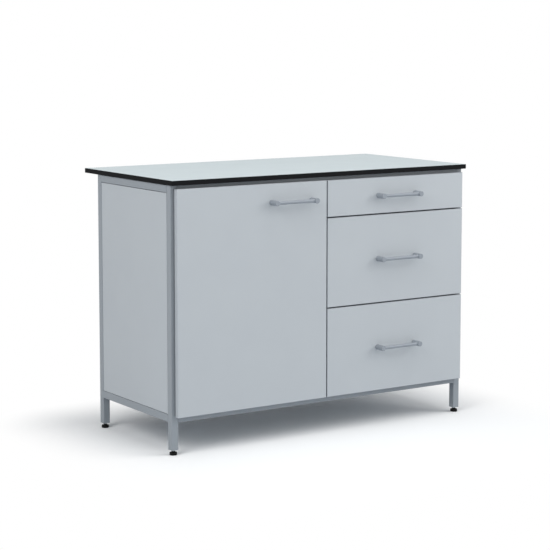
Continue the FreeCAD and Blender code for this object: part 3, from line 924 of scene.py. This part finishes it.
@dataclass
class Worktop(Assembly):
    """The slab of solid laminate and the screws that hold it to the frame's lugs."""

    arris: float = 1.0
    sheet: float = 0.5
    proud: float = 0.1
    tube: float = 25.0
    lug_inset: float = 200.0
    lug_aside: float = 50.0
    lug_reach: float = 10.0
    lug_thick: float = 3.0
    screw: Fastener = Fastener(4.5, 2.8, washer=7.0)

    def build(self) -> None:
        """Build the black core with broken edges and the pale sheet on it, and set the screws."""
        body = Body.CARCASE.value
        low, high = box_of("worktop")
        core, sheet = Shape(), Shape()
        core.block(low, high - Vector((0, 0, self.proud)), self.arris, 1)
        core.piece("worktop_core", body, Slot.WORKTOP, LAMINATE_CORE, "worktop")
        rim = Vector((self.arris, self.arris, 0))
        sheet.block(Vector((low.x, low.y, high.z - self.sheet)) + rim, high - rim)
        sheet.piece("worktop_face", body, Slot.WORKTOP, LAMINATE_FACE)
        front = box_of("upper_front_rail")[0].y
        low, high = box_of("upper_rear_rail")
        columns = (
            low.x - self.tube + self.lug_inset,
            box_of("partition")[0].x - self.lug_aside,
            high.x + self.tube - self.lug_inset,
        )
        rows = (front + self.tube + self.lug_reach, low.y - self.lug_reach)
        spots = [((x, y, high.z - self.lug_thick), DOWN) for x in columns for y in rows]
        self.tools.fasten("worktop_screws", body, self.screw, spots)


@dataclass
class TubeFrame(Assembly):
    """The welded frame of square tube: its powder coat and its weld beads."""

    bead: float = 2.2
    step: float = 1.5
    clear: float = 2.5
    seed: int = 5

    def build(self) -> None:
        """Dress the tubes and lay the beads."""
        sides = ("front", "rear", "left", "right")
        legs = [f"{row}_{column}_leg" for column, row in CORNERS]
        rails = [f"{level}_{side}_rail" for level in ("upper", "lower") for side in sides]
        for node in [*legs, *rails, "welded_tabs"]:
            paint(node, POWDER_COAT)
        host = self.tools.lines("weld_lines", self.seams())
        values = {"Step": self.step * MM, "Radius": self.bead * MM, "Chance Seed": self.seed}
        ride = Body.CARCASE.value, Slot.FRAME
        self.tools.beads.run("frame_weld_beads", host, POWDER_COAT, *ride, values)

    def seams(self) -> Pairs:
        """Where the beads lie.

        Returns:
            The ends of each bead: under the rails against the legs, and upright between two rails.
        """
        found, clear = [], self.clear
        floor = box_of("lower_left_rail")[0].z
        for column, row in CORNERS:
            low, high = box_of(f"{row}_{column}_leg")
            x = high.x if column == "left" else low.x
            y = high.y if row == "front" else low.y
            for level in ("lower", "upper"):
                under, over = (corner.z for corner in box_of(f"{level}_{row}_rail"))
                found.append(((x, low.y + clear, under), (x, high.y - clear, under)))
                found.append(((x, y, under + clear), (x, y, over - clear)))
            found.append(((low.x + clear, y, floor), (high.x - clear, y, floor)))
        return found


@dataclass
class Carcase(Assembly):
    """The boards inside the frame, the shelf on its pins and the screws in the frame's tabs."""

    slit: float = 1.5
    strip_depth: float = 4.0
    strip_ease: float = 0.05
    tab_thick: float = 2.0
    tab_reach: float = 10.0
    tab_heights: tuple[float, ...] = (345.0, 655.0)
    rail_tabs: tuple[float, ...] = (-300.0, 300.0)
    rail_tab_drop: float = 15.0
    screw: Fastener = Fastener(4.0, 2.4)

    def build(self) -> None:
        """Dress the boards, set the screws of the tabs and seal the slits."""
        boards = {
            "left_side_panel": ("X", ()),
            "right_side_panel": ("X", ()),
            "back_panel": ("Y", ()),
            "floor_panel": ("Z", ("+Y",)),
            "partition": ("X", ("+Y", "-Z", "+Z")),
            "shelf": ("Z", ()),
            "runner_packers": ("X", ()),
        }
        for node, (thin, raw) in boards.items():
            paint(node, board(node, thin, raw=raw))
        paint("shelf_pins", ZINC)
        self.tools.fasten("tab_screws", Body.CARCASE.value, self.screw, self.tabs())
        self.seal()

    def seal(self) -> None:
        """Close the slit round each upright board with a foam strip, halfway through the board."""
        shape = Shape()
        ease, thick = self.strip_ease, self.slit - 2 * self.strip_ease
        for node, thin in (("left_side_panel", 0), ("right_side_panel", 0), ("back_panel", 1)):
            low, high = box_of(node)
            deep = (low[thin] + high[thin] - self.strip_depth) / 2
            low[thin], high[thin] = deep, deep + self.strip_depth
            wide = 1 - thin
            for axis, longer in ((wide, 0.0), (2, thick)):
                for start in (low[axis] - ease - thick, high[axis] + ease):
                    first, last = low.copy(), high.copy()
                    first[wide], last[wide] = low[wide] - longer, high[wide] + longer
                    first[axis], last[axis] = start, start + thick
                    shape.block(first, last)
        shape.piece("sealing_strips", Body.CARCASE.value, Slot.PLASTIC, FOAM)

    def tabs(self) -> Pairs:
        """Where the screws of the tabs stand.

        Returns:
            The place and the way of each head.
        """
        rear_left, rear_right = box_of("rear_left_leg"), box_of("rear_right_leg")
        front = box_of("front_left_leg")[1].y + self.tab_reach
        left = box_of("left_side_panel")[1].x + self.tab_thick
        right = box_of("right_side_panel")[0].x - self.tab_thick
        back = box_of("back_panel")[0].y - self.tab_thick
        columns = rear_left[1].x + self.tab_reach, rear_right[0].x - self.tab_reach
        found = []
        for z in self.tab_heights:
            for y in (front, rear_left[0].y - self.tab_reach):
                found += [((left, y, z), RIGHT), ((right, y, z), LEFT)]
            found += [((x, back, z), TO_FRONT) for x in columns]
        z = box_of("upper_rear_rail")[0].z - self.rail_tab_drop
        return found + [((x, back, z), TO_FRONT) for x in self.rail_tabs]


@dataclass
class BarHandle:
    """A bar handle: two turned posts with a rod between them."""

    node: str
    body: str
    post_radius: float = 9.0
    rod_radius: float = 6.0
    setback: float = 10.0
    rim: float = 0.9
    dish: float = 0.35
    sunk: float = 4.0

    def build(self) -> None:
        """Turn the posts and the rod, in place of the CAD node."""
        low, high = box_of(self.node)
        middle, square = (low + high) / 2, math.radians(90)
        length, reach = high.y - low.y, (high.x - low.x) / 2 - self.post_radius
        profile = [(0.0, 0.0), (self.post_radius, 0.0)]
        profile += quarter((self.post_radius - self.rim, length - self.rim), self.rim, 0, 4)
        face, dished = self.post_radius - 2 * self.rim, length - self.dish
        profile += [(face, length), (face - self.dish, dished), (0.0, dished)]
        shape = Shape()
        for sign in (-1, 1):
            foot = Matrix.Translation((middle.x + sign * reach, high.y, middle.z))
            shape.lathe(profile, foot @ Matrix.Rotation(square, 4, "X"), 48)
        span = 2 * (reach - self.post_radius + self.sunk)
        rod = [(0.0, 0.0), (self.rod_radius, 0.0), (self.rod_radius, span), (0.0, span)]
        start = (low.x + self.post_radius * 2 - self.sunk, low.y + self.setback, middle.z)
        shape.lathe(rod, Matrix.Translation(start) @ Matrix.Rotation(square, 4, "Y"))
        shape.piece(f"{self.node}_bar", self.body, Slot.HANDLE, SILVER_LACQUER, self.node)

    def screws(self, face: float) -> Pairs:
        """Where the handle's screws stand.

        Args:
            face: how far back their heads lie.

        Returns:
            The place and the way of each head.
        """
        low, high = box_of(self.node)
        columns = (low.x + self.post_radius, high.x - self.post_radius)
        return [((x, face, (low.z + high.z) / 2), TO_BACK) for x in columns]


@dataclass
class CupboardDoor(Assembly):
    """The cupboard's door with its handle, its two hinges and its rubber buffers."""

    buffer_radius: float = 5.0
    buffer_height: float = 4.6
    buffer_insets: tuple[float, float] = (60.0, 12.0)
    buffer_drop: float = 3.0
    buffer_rise: float = 7.0
    arm_half: float = 5.5
    cup_edge: float = 21.45
    cup_flange: float = 1.0
    cup_screw: float = 24.0
    plate_thick: float = 2.5
    plate_screw: float = 18.0
    plate_end: float = 7.0
    screw: Fastener = Fastener(3.6, 1.9)
    handle_screw: Fastener = Fastener(4.2, 2.4)

    def build(self) -> None:
        """Dress the door and its hinges."""
        door = Body.DOOR.value
        paint("door_panel", board("door_panel", "Y"))
        for node in ("hinge_cups", "hinge_pins", "hinge_arms", "hinge_plates"):
            paint(node, ZINC)
        handle = BarHandle("door_handle", door)
        handle.build()
        low, high = box_of("door_panel")
        self.tools.fasten("door_handle_screws", door, self.handle_screw, handle.screws(high.y))
        arms_low, arms_high = box_of("hinge_arms")
        plate_low, plate_high = box_of("hinge_plates")
        cup_x, cup_y = low.x + self.cup_edge, high.y + self.cup_flange
        plate_x, plate_y = plate_low.x + self.plate_thick, (plate_low.y + plate_high.y) / 2
        cups, plates = [], []
        for z in (arms_low.z + self.arm_half, arms_high.z - self.arm_half):
            for sign in (-1, 1):
                cups.append(((cup_x, cup_y, z + sign * self.cup_screw), TO_BACK))
                plates.append(((plate_x, plate_y, z + sign * self.plate_screw), RIGHT))
            plates.append(((arms_high.x, plate_high.y - self.plate_end, z), RIGHT))
        self.tools.fasten("hinge_cup_screws", door, self.screw, cups)
        self.tools.fasten("hinge_plate_screws", Body.CARCASE.value, self.screw, plates)
        self.buffers(low, high)

    def buffers(self, low: Vector, high: Vector) -> None:
        """Set a rubber buffer in each corner that meets the frame.

        Args:
            low: the door's lowest corner.
            high: its highest corner.
        """
        radius, top = self.buffer_radius, self.buffer_height
        profile = [(0, 0), (radius, 0), (radius, 0.5 * top), (0.85 * radius, 0.85 * top)]
        profile += [(0.5 * radius, top), (0, top)]
        lower = box_of("lower_front_rail")[1].z - self.buffer_drop
        upper = box_of("upper_front_rail")[0].z + self.buffer_rise
        shape = Shape()
        for z in (lower, upper):
            for x in (low.x + self.buffer_insets[0], high.x - self.buffer_insets[1]):
                foot = Matrix.Translation((x, high.y, z))
                shape.lathe(profile, foot @ Matrix.Rotation(math.radians(-90), 4, "X"), 24)
        shape.piece("door_buffers", Body.DOOR.value, Slot.PLASTIC, RUBBER)


@dataclass
class Drawer(Assembly):
    """A drawer: its front and handle, its box, its runners and the screws that join them."""

    tier: Tier
    sheet: float = 1.2
    front_inset: float = 55.0
    joint_inset: float = 8.0
    joint_rises: tuple[float, ...] = (50.0, 130.0)
    runner_shares: tuple[float, ...] = (0.05, 0.4, 0.9)
    ball: float = 1.75
    ball_step: float = 6.0
    ball_height: float = 17.75
    ball_depth: float = 6.65
    cage_length: float = 240.0
    cage_width: float = 2.0
    cage_thick: float = 0.8
    cage_edge: float = 0.2
    cage_end: float = 6.0
    screw: Fastener = Fastener(4.0, 2.2)
    washer_screw: Fastener = Fastener(4.2, 2.4, washer=6.5)

    def build(self) -> None:
        """Dress the drawer."""
        name, drawer, slide = self.tier.label, self.tier.drawer, self.tier.slide
        front = board(f"{drawer}_front", "Y")
        # The drawer front's band is darker than its face: painted shade for the gaps between the
        # drawers.
        paint(f"{drawer}_front", replace(front, band_colour=DRAWER_FRONT_BAND_GAP_SHADE))
        for part, thin in (("sides", "X"), ("box_front", "Y"), ("box_back", "Y")):
            node = f"{drawer}_{part}"
            paint(node, board(node, thin, DRAWER_COLOUR, ("-Z",)))
        base = Hardboard(f"lacquered fibreboard {name}", BASE_COLOUR, 0.45, 1.0, 0.01)
        paint(f"{drawer}_base", replace(base, top=box_of(f"{drawer}_base")[1].z))
        for node in (f"{slide}_channels", f"{slide}_members", f"{drawer}_runners"):
            paint(node, ZINC)
        handle = BarHandle(f"{drawer}_handle", drawer)
        handle.build()
        self.fasten(handle)
        self.roll()

    def fasten(self, handle: BarHandle) -> None:
        """Set the drawer's screws.

        Args:
            handle: its handle.
        """
        drawer, inset = self.tier.drawer, self.joint_inset
        low, high = box_of(f"{drawer}_box_front")
        sides_low, sides_high = box_of(f"{drawer}_sides")
        runner_low, runner_high = box_of(f"{drawer}_runners")
        spots = handle.screws(high.y)
        columns = (low.x + self.front_inset, high.x - self.front_inset)
        for rise in self.tier.rises:
            spots += [((x, high.y, low.z + rise), TO_BACK) for x in columns]
        self.tools.fasten(f"{drawer}_front_screws", drawer, self.washer_screw, spots)
        middle, top = (runner_low.z + runner_high.z) / 2, sides_high.z - inset
        rows = [sides_low.z + inset, *(middle + rise for rise in self.joint_rises)]
        rows = [z for z in rows if z < top]
        if len(rows) == 1:
            rows.append(top)
        spots, faces = [], ((sides_low.x, LEFT), (sides_high.x, RIGHT))
        for y in (sides_low.y + inset, box_of(f"{drawer}_box_back")[0].y + inset):
            spots += [((x, y, z), way) for z in rows for x, way in faces]
        faces = ((sides_low.x - self.sheet, LEFT), (sides_high.x + self.sheet, RIGHT))
        for share in self.runner_shares:
            y = runner_low.y + share * (runner_high.y - runner_low.y)
            spots += [((x, y, middle), way) for x, way in faces]
        self.tools.fasten(f"{drawer}_side_screws", drawer, self.screw, spots)

    def roll(self) -> None:
        """Set the balls and their cages into the middle members."""
        name, slide = self.tier.label, self.tier.slide
        low, high = box_of(f"{slide}_channels")
        member_low, member_high = box_of(f"{slide}_members")
        z, y = (low.z + high.z) / 2, (member_low.y + member_high.y) / 2
        reach = Vector((self.cage_width, self.cage_length, self.cage_thick)) / 2
        rows, cage, last = [], Shape(), self.cage_length / 2 - self.cage_end
        for x in (low.x + self.ball_depth, high.x - self.ball_depth):
            for level in (z - self.ball_height, z + self.ball_height):
                middle = Vector((x, y, level))
                rows.append(((x, y - last, level), (x, y + last, level)))
                cage.block(middle - reach, middle + reach, self.cage_edge)
        host = self.tools.lines(f"{name}_ball_rows", rows)
        values = {"Step": self.ball_step * MM, "Radius": self.ball * MM}
        self.tools.balls.run(f"{slide}_balls", host, CHROME_STEEL, slide, Slot.ZINC, values)
        cage.piece(f"{name}_ball_cages", slide, Slot.PLASTIC, ACETAL)


@dataclass
class LevellingFoot(Assembly):
    """A round foot of black plastic on a threaded stud."""

    column: str
    row: str
    radius: float = 12.5
    height: float = 9.5
    neck: float = 6.5
    neck_height: float = 3.5
    flare: float = 0.6
    chamfer: float = 0.5
    sunk: float = 1.0
    crest: float = 4.0
    pitch: float = 1.25
    sole: float = 1.2
    crown: float = 1.8

    def build(self) -> None:
        """Turn the foot with its hexagon and wind its thread, in place of the CAD node."""
        node = f"{self.row}_{self.column}_foot"
        low, high = box_of(node)
        middle, top = (low + high) / 2, self.height + self.neck_height
        place = Matrix.Translation((middle.x, middle.y, low.z))
        shape = Shape()
        shape.lathe(self.profile(), place, 48)
        hexagon = [(0.0, self.height - self.sunk), (self.neck, self.height - self.sunk)]
        hexagon += [(self.neck, top - self.chamfer), (self.neck - self.chamfer, top), (0.0, top)]
        shape.lathe(hexagon, place, 6)
        shape.piece(f"{node}_pad", node, Slot.PLASTIC, POLYAMIDE, node)
        start = low.z + top - self.sunk
        host = bpy.data.meshes.new(f"{node}_spot")
        host.from_pydata([Vector((middle.x, middle.y, start)) * MM], [], [])
        values = {"Length": high.z - start, "Pitch": self.pitch, "Crest": self.crest}
        values = {name: value * MM for name, value in values.items()}
        self.tools.thread.run(f"{node}_stud", host, ZINC, node, Slot.ZINC, values)

    def profile(self) -> Profile:
        """The foot's outline from the floor to its neck.

        Returns:
            Radius and height of each point.
        """
        sole, crown, shoulder = self.sole, self.crown, self.height + self.flare
        points = [(0.0, 0.0), *quarter((self.radius - sole, sole), sole, -90, 3)]
        points += quarter((self.radius - crown, self.height - crown), crown, 0, 5)
        points += [(self.neck + self.flare, self.height), (self.neck, shoulder), (0.0, shoulder)]
        return points


@dataclass(frozen=True)
class Softbox:
    """A wide soft lamp that looks at the table's middle. Its place and size are in metres."""

    name: str
    place: Point
    size: float
    power: float
    hidden: bool = False
    aim: Point = (0.0, 0.0, 0.5)

    def hang(self) -> None:
        """Hang the lamp."""
        data = bpy.data.lights.new(self.name, "AREA")
        data.shape, data.size, data.energy = "DISK", self.size, self.power
        made = show(data)
        made.location = self.place
        way = Vector(self.aim) - Vector(self.place)
        made.rotation_euler = way.to_track_quat("-Z", "Y").to_euler()
        made.visible_camera = made.visible_glossy = not self.hidden


@dataclass
class Studio:
    """A plain pale floor, soft light all round and the photograph's camera, in metres."""

    floor_radius: float = 60.0
    floor_colour: str = "#FDFEFE"
    bounce_colour: str = "#DCE2E9"
    kept_middle: Point = (0.0, -0.22, 0.0)
    kept_half: Point = (0.6, 0.52, 1.0)
    fade: float = 0.36
    sky: float = 0.315
    sky_colour: str = "#F9FBFF"
    softboxes: tuple[Softbox, ...] = (
        Softbox("key", (4.5, -3.5, 2.8), 4.0, 147.0),
        Softbox("fill", (-3.8, -1.6, 3.3), 3.0, 102.0),
        Softbox("front", (0.8, -3.0, 5.2), 5.0, 62.0),
        Softbox("overhead", (0.0, -0.4, 4.2), 3.0, 31.0),
        Softbox("rear", (0.8, 4.2, 1.0), 1.6, 9.0, hidden=True),
    )
    camera_place: Point = (-3.41492, -5.12268, 1.40717)
    yaw: float = 0.5845
    pitch: float = 0.1126
    lens: float = 115.31
    sensor: float = 36.0
    shift: float = -0.1

    def build(self) -> None:
        """Set up the camera, the light and the floor."""
        self.camera()
        self.world()
        for softbox in self.softboxes:
            softbox.hang()
        self.floor()

    def camera(self) -> None:
        """Stand the camera where the photograph was taken."""
        data = bpy.data.cameras.new("camera")
        data.lens, data.sensor_width, data.shift_y = self.lens, self.sensor, self.shift
        data.clip_start, data.clip_end = 0.05, 500.0
        made = show(data)
        made.location = self.camera_place
        made.rotation_euler = (math.radians(90) - self.pitch, 0.0, -self.yaw)
        bpy.context.scene.camera = made
        bpy.context.scene.view_settings.view_transform = "Standard"

    @staticmethod
    def seen(tree: Tree) -> Source:
        """Add the test for rays that show a surface, straight or mirrored.

        Args:
            tree: the tree that gets the nodes.

        Returns:
            One for such rays and zero for those that only carry light.
        """
        path = add_node(tree, "ShaderNodeLightPath")
        total = output(path, "Is Camera Ray")
        for name in ("Is Glossy Ray", "Is Transmission Ray"):
            pair = {"Value": total, "Value_001": output(path, name)}
            total = add_node(tree, "ShaderNodeMath", pair, operation="MAXIMUM")
        return total

    def world(self) -> None:
        """Light the object evenly from all round, and show white behind it."""
        made = bpy.data.worlds.new("studio")
        bpy.context.scene.world = made
        tree = empty_tree(made)
        light = {"Color": linear(self.sky_colour), "Strength": self.sky}
        white = {"Color": (1, 1, 1, 1), "Strength": 1.0}
        both = {"Fac": self.seen(tree)}
        both["Shader"] = add_node(tree, "ShaderNodeBackground", light)
        both["Shader_001"] = add_node(tree, "ShaderNodeBackground", white)
        mixed = add_node(tree, "ShaderNodeMixShader", both)
        add_node(tree, "ShaderNodeOutputWorld", {"Surface": mixed})

    def floor(self) -> None:
        """Lay the floor, which keeps the table's shadow near it and is white beyond."""
        data, r = bpy.data.meshes.new("floor"), self.floor_radius
        data.from_pydata([(-r, -r, 0), (r, -r, 0), (r, r, 0), (-r, r, 0)], [], [(0, 1, 2, 3)])
        finish = bpy.data.materials.new("matt studio floor")
        tree = empty_tree(finish)
        seen = self.seen(tree)
        tones = {"A_Color": linear(self.bounce_colour), "B_Color": linear(self.floor_colour)}
        tones["Factor_Float"] = seen
        matt = {"Color": add_node(tree, "ShaderNodeMix", tones, data_type="RGBA")}
        place = output(add_node(tree, "ShaderNodeTexCoord"), "Object")
        for operation, other in (
            ("SUBTRACT", self.kept_middle),
            ("ABSOLUTE", (0.0, 0.0, 0.0)),
            ("SUBTRACT", self.kept_half),
            ("MAXIMUM", (0.0, 0.0, 0.0)),
        ):
            pair = {"Vector": place, "Vector_001": other}
            place = add_node(tree, "ShaderNodeVectorMath", pair, operation=operation)
        away = add_node(tree, "ShaderNodeVectorMath", {"Vector": place}, operation="LENGTH")
        away = {"Value": away, "From Max": self.fade}
        away = add_node(tree, "ShaderNodeMapRange", away, interpolation_type="SMOOTHSTEP")
        share = {"Value": seen, "Value_001": away}
        both = {"Fac": add_node(tree, "ShaderNodeMath", share, operation="MULTIPLY")}
        both["Shader"] = add_node(tree, "ShaderNodeBsdfDiffuse", matt)
        both["Shader_001"] = add_node(tree, "ShaderNodeEmission", {"Strength": 1.0})
        mixed = add_node(tree, "ShaderNodeMixShader", both)
        add_node(tree, "ShaderNodeOutputMaterial", {"Surface": mixed})
        data.materials.append(finish)
        show(data)


def main() -> None:
    """Build the studio and dress the table, one sub-assembly after another."""
    logging.basicConfig(level=logging.INFO, format="%(message)s")
    Studio().build()
    tools = Toolbox()
    for kind in (Worktop, TubeFrame, Carcase, CupboardDoor):
        kind(tools).build()
    for tier in Tier:
        Drawer(tools, tier).build()
    paint("leg_plugs", POLYAMIDE)
    for column, row in CORNERS:
        LevellingFoot(tools, column, row).build()


if __name__ == "__main__":
    main()
